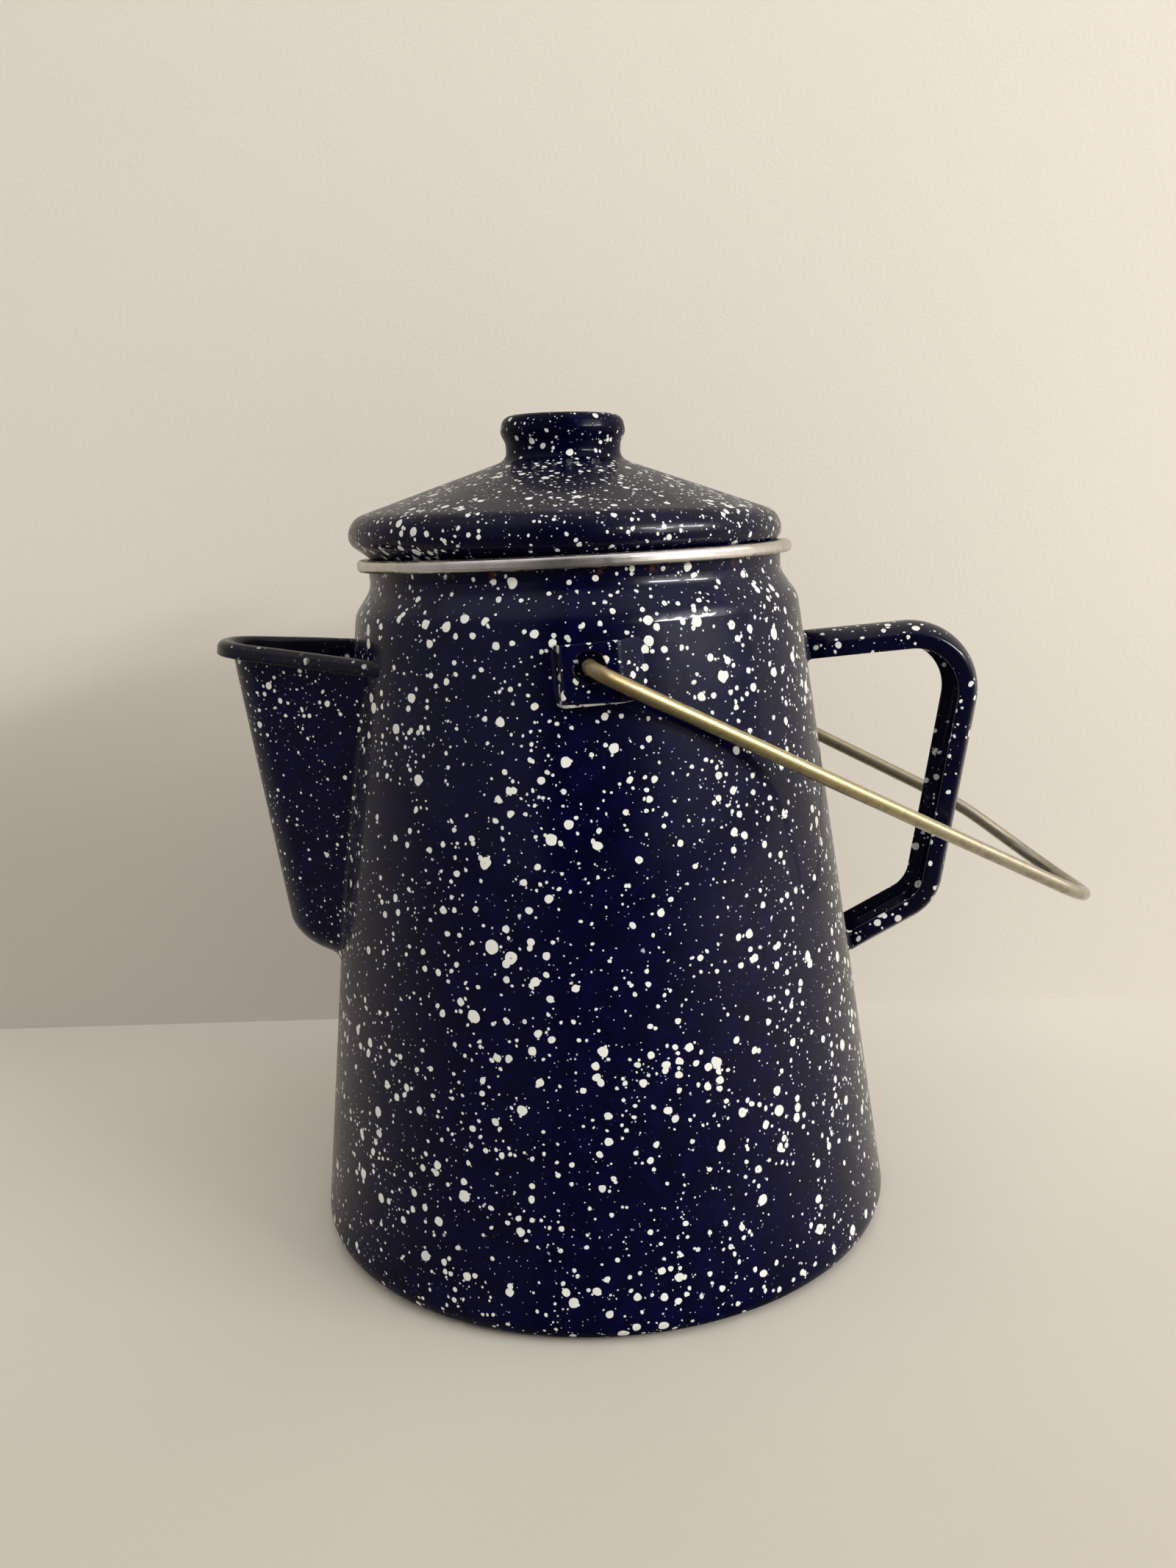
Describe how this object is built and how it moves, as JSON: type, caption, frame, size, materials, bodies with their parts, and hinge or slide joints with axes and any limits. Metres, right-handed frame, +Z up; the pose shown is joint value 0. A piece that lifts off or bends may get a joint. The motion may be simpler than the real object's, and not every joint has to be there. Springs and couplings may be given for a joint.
{
  "type": "coffee pot",
  "caption": "Conical enamelled steel coffee boiler with a V-shaped spout, channel handle, hinged wire bail and a loose lift-off lid with a hollow knob.",
  "frame": {"origin": "centre of the flat base, on the surface the pot stands on, on the pot's vertical axis", "axes": "+Z up along the pot's axis, +X towards the handle, -X towards the spout, Y through the two bail ears"},
  "size_m": [0.2452, 0.1644, 0.2273],
  "materials": {
    "enamel": "glossy cobalt vitreous enamel with white speckles",
    "lid_enamel": "glossy cobalt vitreous enamel with white speckles",
    "rim_steel": "satin stainless, lightly worn",
    "bail_steel": "drawn steel wire with a yellowed, tarnished finish"
  },
  "bodies": {
    "pot": {"pot_body": "enamel", "rim_band": "rim_steel", "spout": "enamel", "handle": "enamel", "bail_ear_front": "enamel", "bail_ear_rear": "enamel"},
    "bail": {"bail_wire": "bail_steel"},
    "lid": {"lid_shell": "lid_enamel", "lid_knob": "lid_enamel"}
  },
  "joints": [
    {"name": "bail_swing", "type": "hinge", "parent": "pot", "child": "bail", "pos_m": [0, 0, 0.1652], "axis": [0, -1, 0], "range_deg": [0, 238]},
    {"name": "lid_lift", "type": "slide", "parent": "pot", "child": "lid", "axis": [0, 0, 1], "range_m": [0, 0.06]}
  ]
}
